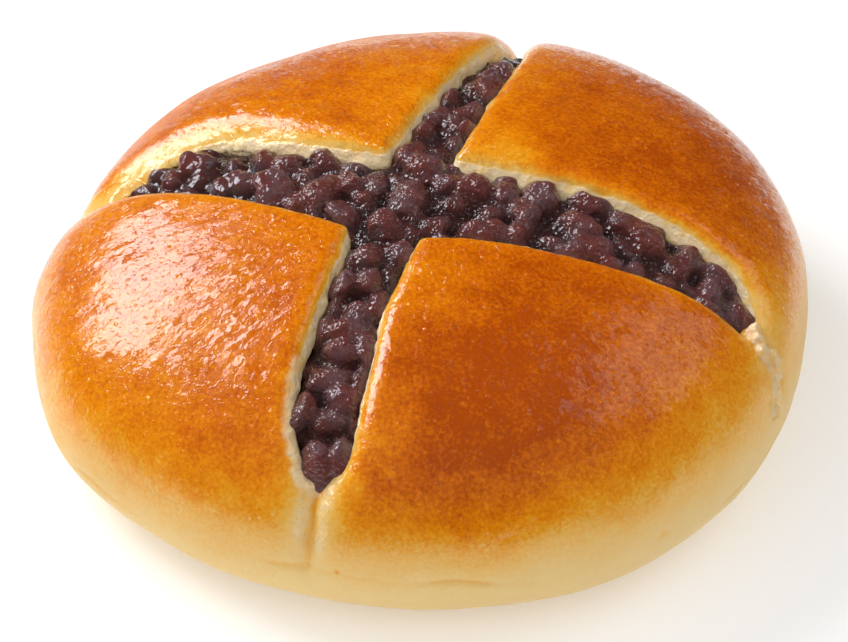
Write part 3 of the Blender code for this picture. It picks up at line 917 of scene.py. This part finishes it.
points = points_of(filling)
facing = normals_of(filling)
margin = distance_from_cut(points, FLAP_THICKNESS)
shown = (1 - smoothstep(*SHOWN_MARGIN, margin)) * on_top(points)
ridge = (1 - np.abs(layered(points, [RIDGES]))) ** RIDGE_SHARPNESS
folds = layered(points, PASTE_FOLDS)
folds += RIDGE_HEIGHT * ridge - RIDGE_DROP
heap = bell(from_cut_middle(points[:, 0], points[:, 1]), HEAP_RADIUS)
within = 1 - smoothstep(*MASH_EDGE, margin + layered(points, [MASH_RAGGED]))
rise = MASH_RISE * (1 - HEAP_LESS * heap) * within
rise *= 1 - BACK_LESS * smoothstep(*BACK_ARM, points[:, 1])
points += facing * (folds * shown)[:, None]
points[:, 2] += rise * on_top(points)
move_points(filling, points)
keep_attribute(filling, "bean_height", points[:, 2] - paste_top(points[:, 0], points[:, 1]) - rise)
thin_out(filling, shown < 0.2)

# %% [markdown]
# ## Onto the solids' place
#
# The CAD part was moved to stand on the table, round the middle of its box. Both pieces follow it there, and
# the few points that would lie outside its box are set back onto it.

# %% Stand both pieces where the CAD part stands
low, high = (np.array(corner) / MM for corner in cad_box)
for piece in (dough, filling):
    stood = points_of(piece) + STOOD
    outside = int(((stood < low) | (stood > high)).any(axis=1).sum())
    print(piece.name, "has", outside, "points set back onto the box")
    move_points(piece, np.clip(stood, low, high))
    pick(piece)
    bpy.ops.object.shade_smooth()

# %% [markdown]
# ## Materials
#
# Every finish is built from noise on the piece's own coordinates and from the attributes kept above. A helper
# adds a node, sets its values and links its inputs, so that each material reads as a short recipe.

# %% A short way to write nodes
def node(tree, kind, settings=None, **inputs):
    """Adds a node, sets its own settings, and fills or links its inputs by name or number."""
    made = tree.nodes.new(kind)
    for setting, value in (settings or {}).items():
        setattr(made, setting, value)
    for name, value in inputs.items():
        numbered = name[0] == "i" and name[1:].isdigit()
        socket = made.inputs[int(name[1:]) if numbered else name.replace("_", " ")]
        if isinstance(value, bpy.types.NodeSocket):
            tree.links.new(value, socket)
        else:
            socket.default_value = value
    return made


def new_material(name):
    """An empty material, its tree, its shader and its object coordinates in metres."""
    material = bpy.data.materials.new(name)
    material.use_nodes = True
    tree = material.node_tree
    shader = tree.nodes["Principled BSDF"]
    place = tree.nodes.new("ShaderNodeTexCoord").outputs["Object"]
    return material, tree, shader, place


def maths(tree, operation, first, second=0.0):
    """One number from two."""
    return node(tree, "ShaderNodeMath", {"operation": operation}, i0=first, i1=second).outputs[0]


def times(tree, first, second):
    """The product of two numbers."""
    return maths(tree, "MULTIPLY", first, second)


def minus(tree, first, second):
    """The first number less the second."""
    return maths(tree, "SUBTRACT", first, second)


def plus(tree, first, *others):
    """The sum of all these numbers."""
    for other in others:
        first = maths(tree, "ADD", first, other)
    return first


def vectors(tree, operation, *values, output="Vector"):
    """What a vector operation makes of these vectors."""
    inputs = {f"i{number}": value for number, value in enumerate(values)}
    return node(tree, "ShaderNodeVectorMath", {"operation": operation}, **inputs).outputs[output]


# %% Patterns, fades and colours for the recipes
def grain(tree, place, length, detail=2.0, roughness=0.5, output="Fac"):
    """Noise between 0 and 1 whose lumps are about this many millimetres long."""
    settings = dict(Scale=1 / (length * MM), Detail=detail, Roughness=roughness)
    return node(tree, "ShaderNodeTexNoise", None, Vector=place, **settings).outputs[output]


def cells(tree, place, size):
    """A pattern of cells that are about this many millimetres wide."""
    return node(tree, "ShaderNodeTexVoronoi", {"feature": "F1"}, Vector=place, Scale=1 / (size * MM))


def pushed(tree, place, start, length, far, detail):
    """The coordinates in start, pushed this far by noise of this length, both in millimetres."""
    push = grain(tree, place, length, detail, output="Color")
    return vectors(tree, "MULTIPLY_ADD", push, (far * MM,) * 3, start)


def between(tree, value, low, high, at_low=0.0, at_high=1.0):
    """One value below low, another above high, smooth between them."""
    ends = dict(From_Min=low, From_Max=high, To_Min=at_low, To_Max=at_high)
    settings = {"interpolation_type": "SMOOTHSTEP"}
    return node(tree, "ShaderNodeMapRange", settings, Value=value, **ends).outputs[0]


def mixed(tree, factor, first, second):
    """A colour between two."""
    made = node(tree, "ShaderNodeMix", {"data_type": "RGBA"}, i0=factor)
    for socket, value in ((made.inputs[6], first), (made.inputs[7], second)):
        if isinstance(value, bpy.types.NodeSocket):
            tree.links.new(value, socket)
        else:
            socket.default_value = (*value, 1)
    return made.outputs[2]


def kept(tree, name):
    """The number that the piece keeps under this name."""
    return node(tree, "ShaderNodeAttribute", {"attribute_name": name}).outputs["Fac"]


def give(piece, material):
    """Makes this the piece's only material."""
    piece.data.materials.clear()
    piece.data.materials.append(material)
    print(piece.name, "wears", material.name, "of", len(material.node_tree.nodes), "nodes")


# %% [markdown]
# ## The relief of crust and crumb
#
# The crust is egg-washed, so it lies under a thin, hard gloss that is crinkled like cellophane. Flat cells
# with a small random tilt make that crinkle, because each catches the light as a whole. They are drawn out
# round the bun further from its middle, where the crust stretched most. The crumb is spongy all over.

# %% Facets, wrinkles and sponge
STRETCH_FROM, STRETCH_ONE, STRETCH_POWER = 0.012, 0.035, -0.6  # metres from the middle of the bun
PUSH_LENGTH, PUSH_FAR, PUSH_DETAIL = 1.4, 1.1, 2.0
FACET_SIZE, FACET_TILT = 0.65, 1.2
WRINKLE_LENGTH, WRINKLE_HEIGHT = 1.3, 0.05
SWELLING_LENGTH, SWELLING_HEIGHT = 3.6, 0.1
SPECK_LENGTH, SPECK_HEIGHT, SPECK_CUT = 0.55, 0.24, 0.6  # only the noise over the cut makes specks
SPONGE_LENGTH, SPONGE_HEIGHT = 0.9, 0.4


def crinkle(tree, place):
    """The height of the glossy skin's facets and wrinkles, and of the spongy crumb, in metres."""
    from_middle = vectors(tree, "LENGTH", vectors(tree, "MULTIPLY", place, (1, 1, 0)), output="Value")
    far = maths(tree, "DIVIDE", maths(tree, "MAXIMUM", from_middle, STRETCH_FROM), STRETCH_ONE)
    squeeze = maths(tree, "POWER", far, STRETCH_POWER)
    rings = node(tree, "ShaderNodeCombineXYZ", None, i0=squeeze, i1=squeeze, i2=0.5).outputs[0]
    stretched = vectors(tree, "MULTIPLY", place, rings)
    warped = pushed(tree, place, stretched, PUSH_LENGTH, PUSH_FAR, PUSH_DETAIL)
    facets = cells(tree, warped, FACET_SIZE)
    offset = vectors(tree, "SUBTRACT", warped, facets.outputs["Position"])
    tilt = vectors(tree, "SUBTRACT", facets.outputs["Color"], (0.5,) * 3)
    cube = vectors(tree, "MULTIPLY", vectors(tree, "MULTIPLY", tilt, tilt), tilt)
    facet = vectors(tree, "DOT_PRODUCT", offset, cube, output="Value")
    wrinkle = maths(tree, "ABSOLUTE", minus(tree, grain(tree, stretched, WRINKLE_LENGTH, 3.0, 0.6), 0.5))
    swelling = grain(tree, stretched, SWELLING_LENGTH, 1.0)
    speck = maths(tree, "MAXIMUM", minus(tree, grain(tree, place, SPECK_LENGTH, 1.0), SPECK_CUT), 0.0)
    skin = plus(
        tree,
        times(tree, facet, FACET_TILT),
        times(tree, wrinkle, WRINKLE_HEIGHT * MM),
        times(tree, swelling, SWELLING_HEIGHT * MM),
        times(tree, speck, SPECK_HEIGHT * MM),
    )
    return skin, times(tree, grain(tree, place, SPONGE_LENGTH, 3.0, 0.5), SPONGE_HEIGHT * MM)


# %% [markdown]
# ## Crust and crumb
#
# The crust runs from pale dough over gold to brown, speckled with small dark pimples, and it is darker along
# its creases and folds, which is painted shade. The crumb is cream with a little gold in it, and dry. Both
# are one piece of dough, so one material turns from the one to the other where the rawness says so. Where
# there is no glaze the crust is dull and has a fine fuzz.

# %% The dough's material
CRUST_COLORS = (  # from pale dough to the brownest crust
    (0.0, (0.87, 0.62, 0.24)),
    (0.18, (0.87, 0.54, 0.15)),
    (0.32, (0.87, 0.47, 0.075)),
    (0.48, (0.86, 0.36, 0.014)),
    (0.64, (0.81, 0.25, 0.001)),
    (0.8, (0.67, 0.15, 0.0004)),
    (1.0, (0.44, 0.068, 0.0003)),
)
CRUMB_CREAM = (0.84, 0.63, 0.36)
CRUMB_GOLD = (0.85, 0.55, 0.19)
SPECKLE_LENGTH, SPECKLE_TONE = 0.5, 0.36
CLOUD_LENGTH, CLOUD_TONE = 3.2, 0.22
PIMPLE_SPACING, PIMPLE_TONE, PIMPLE_HEIGHT = 1.5, 0.12, 0.06
CREASE_SHADE_TONE = 0.42
CRUMB_EDGE_LENGTH, CRUMB_EDGE_RAGGED = 0.9, 0.5
GLOSS_ROUGHNESS, DULL_MORE, CRUMB_MORE = 0.15, 0.32, 0.34
UNGLAZED_RELIEF = 0.25  # as a share of the glazed skin's
FUZZ_HEIGHT, FUZZ_LESS = 0.1, 0.09


def crust_color(tree, baked, fine, coarse, pimple):
    """The crust's colour from how baked it is, mottled by fine and coarse noise and by pimples, and darker
    along creases as painted shade.
    """
    speckle = times(tree, minus(tree, fine, 0.5), SPECKLE_TONE)
    cloud = times(tree, minus(tree, coarse, 0.5), CLOUD_TONE)
    mottle = minus(tree, plus(tree, speckle, cloud), times(tree, pimple, PIMPLE_TONE))
    mottle = times(tree, mottle, plus(tree, 0.5, between(tree, baked, 0.0, 0.5)))
    # The crease attribute darkens the crust along creases and folds as painted shade.
    tone = plus(tree, baked, mottle, times(tree, kept(tree, "crease"), CREASE_SHADE_TONE))
    ramp = node(tree, "ShaderNodeValToRGB", None, Fac=tone)
    while len(ramp.color_ramp.elements) < len(CRUST_COLORS):
        ramp.color_ramp.elements.new(0.5)
    for element, (place_on, color) in zip(ramp.color_ramp.elements, CRUST_COLORS):
        element.position = place_on
        element.color = (*color, 1)
    return ramp.outputs["Color"]


def make_dough_material():
    """Glossy crust that turns into dry crumb where the dough is torn."""
    material, tree, shader, place = new_material("baked_dough")
    fine = grain(tree, place, SPECKLE_LENGTH, 2.0, 0.6)
    coarse = grain(tree, place, CLOUD_LENGTH, 2.0, 0.6)
    pimples = cells(tree, place, PIMPLE_SPACING)
    chance = node(tree, "ShaderNodeSeparateXYZ", None, i0=pimples.outputs["Color"]).outputs[0]
    pimple = minus(tree, 1.0, between(tree, pimples.outputs["Distance"], 0.05, 0.24))
    pimple = times(tree, pimple, between(tree, chance, 0.45, 0.75))
    crust = crust_color(tree, kept(tree, "browning"), fine, coarse, pimple)
    ragged = times(tree, minus(tree, grain(tree, place, CRUMB_EDGE_LENGTH, 3.0), 0.5), CRUMB_EDGE_RAGGED)
    inner = between(tree, plus(tree, kept(tree, "rawness"), ragged), 0.25, 0.75)
    crumb = mixed(tree, between(tree, grain(tree, place, 1.6, 3.0), 0.48, 0.7), CRUMB_CREAM, CRUMB_GOLD)
    tree.links.new(mixed(tree, inner, crust, crumb), shader.inputs["Base Color"])
    glazed = kept(tree, "glaze")
    dull = times(tree, minus(tree, 1.0, glazed), DULL_MORE)
    dull = maths(tree, "MAXIMUM", dull, times(tree, inner, CRUMB_MORE))
    tree.links.new(plus(tree, dull, GLOSS_ROUGHNESS), shader.inputs["Roughness"])
    shader.inputs["Specular IOR Level"].default_value = 0.6
    shader.inputs["Subsurface Weight"].default_value = 0.15
    shader.inputs["Subsurface Radius"].default_value = (1.0, 0.6, 0.3)
    shader.inputs["Subsurface Scale"].default_value = 0.002
    skin, sponge = crinkle(tree, place)
    skin = times(tree, skin, plus(tree, UNGLAZED_RELIEF, times(tree, glazed, 1 - UNGLAZED_RELIEF)))
    skin = plus(tree, skin, times(tree, pimple, PIMPLE_HEIGHT * MM))
    fuzz = minus(tree, FUZZ_HEIGHT * MM, times(tree, glazed, FUZZ_LESS * MM))
    skin = plus(tree, skin, times(tree, fine, fuzz))
    relief = node(tree, "ShaderNodeMix", {"data_type": "FLOAT"}, i0=inner, i2=skin, i3=sponge).outputs[0]
    bump = node(tree, "ShaderNodeBump", None, Strength=1.0, Distance=1.0, Height=relief)
    tree.links.new(bump.outputs[0], shader.inputs["Normal"])
    return material


give(dough, make_dough_material())

# %% [markdown]
# ## Wet bean paste
#
# Sweet bean paste is dark, purple-brown and wet, with mauve and red skins on what stands up. Low in the gaps
# between the beans it is painted near-black, as painted shade. Syrup lies over it in tiny beads, so it
# sparkles in small points rather than in one broad sheen. Small cells, each a shallow dome, bend the gloss
# for that, over a slower ripple. The domes are flatter in the left arm, which is smoother.

# %% The filling's material
# The near-black colour down in the gaps between the beans is painted shade.
PASTE_GAP_SHADE = (0.022, 0.009, 0.008)
PASTE_MAUVE = (0.135, 0.064, 0.068)
PASTE_RED = (0.14, 0.038, 0.032)
SYRUP_TINT = (0.86, 0.92, 1, 1)
BLOTCH_LENGTH = 3.5
BEAD_SIZE, BEAD_PUSH_LENGTH, BEAD_PUSH_FAR = 0.62, 0.9, 0.9
FLAT_BEADS, ROUND_BEADS = 0.00006, 0.00014  # how far a dome falls away, and how much more past the left arm
LEFT_ARM_ENDS = (-0.03, -0.012)  # metres along x
FILM_LENGTH, FILM_HEIGHT = 1.0, 0.22


def make_filling_material():
    """Dark, wet paste with small sparkles, painted darker in the gaps between the beans as shade."""
    material, tree, shader, place = new_material("wet_bean_paste")
    # Points low between the beans take the painted shade colour, and those that stand up take the skins'
    # colours.
    out_of_gap_shade = between(tree, kept(tree, "bean_height"), -0.6, 2.0)
    blotch = between(tree, grain(tree, place, BLOTCH_LENGTH, 3.0, 0.6), 0.4, 0.65)
    body = mixed(tree, blotch, PASTE_RED, PASTE_MAUVE)
    tree.links.new(mixed(tree, out_of_gap_shade, PASTE_GAP_SHADE, body), shader.inputs["Base Color"])
    shader.inputs["Roughness"].default_value = 0.06
    shader.inputs["Specular IOR Level"].default_value = 0.75
    shader.inputs["Specular Tint"].default_value = SYRUP_TINT
    shader.inputs["Subsurface Weight"].default_value = 0.3
    shader.inputs["Subsurface Radius"].default_value = (1.0, 0.3, 0.25)
    shader.inputs["Subsurface Scale"].default_value = 0.002
    warped = pushed(tree, place, place, BEAD_PUSH_LENGTH, BEAD_PUSH_FAR, 1.0)
    beads = cells(tree, warped, BEAD_SIZE).outputs["Distance"]
    along = node(tree, "ShaderNodeSeparateXYZ", None, i0=place).outputs[0]
    rounder = times(tree, between(tree, along, *LEFT_ARM_ENDS), -ROUND_BEADS)
    dome = times(tree, maths(tree, "POWER", beads, 2.0), minus(tree, rounder, FLAT_BEADS))
    film = times(tree, grain(tree, place, FILM_LENGTH, 1.0, 0.5), FILM_HEIGHT * MM)
    bump = node(tree, "ShaderNodeBump", None, Strength=1.0, Distance=1.0, Height=plus(tree, film, dome))
    tree.links.new(bump.outputs[0], shader.inputs["Normal"])
    return material


give(filling, make_filling_material())

# %% [markdown]
# ## The table
#
# The bun stands on a plain white table that glows a little, as a lit table in a photographer's tent does.
# Further out it fades to grey, so that it doesn't light the bun's sides from below.

# %% A white table
TABLE_SIZE = 6
TABLE_WHITE, TABLE_FAR, TABLE_GLOW = 0.82, 0.2, 0.26
TABLE_FADE = (0.088, 0.19)  # metres from the middle

bpy.ops.object.select_all(action="DESELECT")
bpy.ops.mesh.primitive_plane_add(size=TABLE_SIZE)
table = bpy.context.object
table.name = "table"
white, tree, shader, place = new_material("white_table")
far = between(tree, vectors(tree, "LENGTH", place, output="Value"), *TABLE_FADE)
tree.links.new(mixed(tree, far, (TABLE_WHITE,) * 3, (TABLE_FAR,) * 3), shader.inputs["Base Color"])
tree.links.new(times(tree, minus(tree, 1.0, far), TABLE_GLOW), shader.inputs["Emission Strength"])
shader.inputs["Emission Color"].default_value = (1, 1, 1, 1)
shader.inputs["Roughness"].default_value = 0.9
give(table, white)

# %% [markdown]
# ## The lights
#
# One large softbox at the upper left puts the crinkled highlight on the front left flap. A gleam from the
# same place adds to that highlight alone, and doesn't brighten the dough. A weaker softbox at the right gives
# the front right flap its sheen. Three wide bounces, from the top, the right and the front, fill the shadows.
# They are not mirrored in the gloss. The room is dim, and lighter near the horizon.

# %% Softboxes, bounces and the room
LIGHT_DISTANCE = 0.6
KEY_FROM, KEY_SIZE = (-0.75, 0.22, 0.62), (0.36, 0.32)
BOUNCE_SIZE = (1.2, 1.0)
LIGHTS = (  # name, direction, size in metres, power in watts, and whether gloss mirrors it
    ("key_softbox", KEY_FROM, KEY_SIZE, 2.8, True),
    ("side_softbox", (0.54, 0.34, 0.77), (0.30, 0.30), 0.26, True),
    ("top_bounce", (0.0, -0.3, 0.95), BOUNCE_SIZE, 2.35, False),
    ("right_bounce", (0.85, 0.15, 0.5), BOUNCE_SIZE, 1.95, False),
    ("front_bounce", (-0.35, -0.65, 0.65), BOUNCE_SIZE, 1.95, False),
    ("key_gleam", KEY_FROM, KEY_SIZE, 4.4, True),
)
WALLS_BRIGHTNESS, CEILING_BRIGHTNESS = 0.2, 0.02
ROOM_FADE = (0.02, 0.12)  # how steeply up, from 0 for level to 1 for straight up


def softbox(name, way, size, power, mirrored):
    """A rectangular light that looks at the bun from this direction, and is mirrored in gloss or isn't."""
    way = Vector(way).normalized()
    bpy.ops.object.light_add(type="AREA", location=way * LIGHT_DISTANCE)
    light = bpy.context.object
    light.name = name
    light.rotation_euler = way.to_track_quat("Z", "Y").to_euler()
    light.data.shape = "RECTANGLE"
    light.data.size, light.data.size_y = size
    light.data.energy = power
    light.visible_glossy = mirrored
    return light


lights = [softbox(*light) for light in LIGHTS]
lights[-1].visible_diffuse = False
world = bpy.data.worlds.new("white_room")
world.use_nodes = True
sky = world.node_tree
way = sky.nodes.new("ShaderNodeTexCoord").outputs["Generated"]
up_share = node(sky, "ShaderNodeSeparateXYZ", None, i0=way).outputs[2]
dim = between(sky, up_share, *ROOM_FADE, WALLS_BRIGHTNESS, CEILING_BRIGHTNESS)
sky.links.new(dim, sky.nodes["Background"].inputs["Strength"])
sky.nodes["Background"].inputs["Color"].default_value = (1, 1, 1, 1)
bpy.context.scene.world = world
bpy.context.scene.view_settings.view_transform = "Standard"
print("lights:", ", ".join(light.name for light in lights))

# %% [markdown]
# ## The camera
#
# The camera stands where the photo was taken from: a little to the right, half-way up, and nearly half a
# metre away behind a long lens. These numbers were fitted to the photo's outline of the bun.

# %% Place the camera
CAMERA_AZIMUTH, CAMERA_ELEVATION = 17.589, 42.819  # degrees
CAMERA_DISTANCE = 462.77  # millimetres
CAMERA_AIM = np.array((0, 0, 15.0))
AIM_RIGHT, AIM_UP = -0.8, -4.7
LENS, SENSOR = 149.9, 36

azimuth, elevation = math.radians(CAMERA_AZIMUTH), math.radians(CAMERA_ELEVATION)
back = Vector((math.sin(azimuth), -math.cos(azimuth), math.tan(elevation))).normalized()
right = Vector((math.cos(azimuth), math.sin(azimuth), 0))
up = back.cross(right)
aim = Vector(CAMERA_AIM + STOOD) + right * AIM_RIGHT + up * AIM_UP
bpy.ops.object.camera_add()
camera = bpy.context.object
turned = Matrix((right, up, back)).transposed().to_4x4()
camera.matrix_world = Matrix.Translation((aim + back * CAMERA_DISTANCE) * MM) @ turned
camera.data.lens, camera.data.sensor_width = LENS, SENSOR
bpy.context.scene.camera = camera
print("camera in mm:", [round(v) for v in aim + back * CAMERA_DISTANCE])

# %% [markdown]
# ## Handing over
#
# Each piece rides on the bun's one body and replaces one solid of the CAD part.

# %% Hand the pieces to the frame
FINISHES = (
    (dough, "bun_dough", "baked_crust"),
    (filling, "bean_filling", "red_bean_paste"),
)
for piece, stands_for, finish in FINISHES:
    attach(piece, "root")
    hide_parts(stands_for)
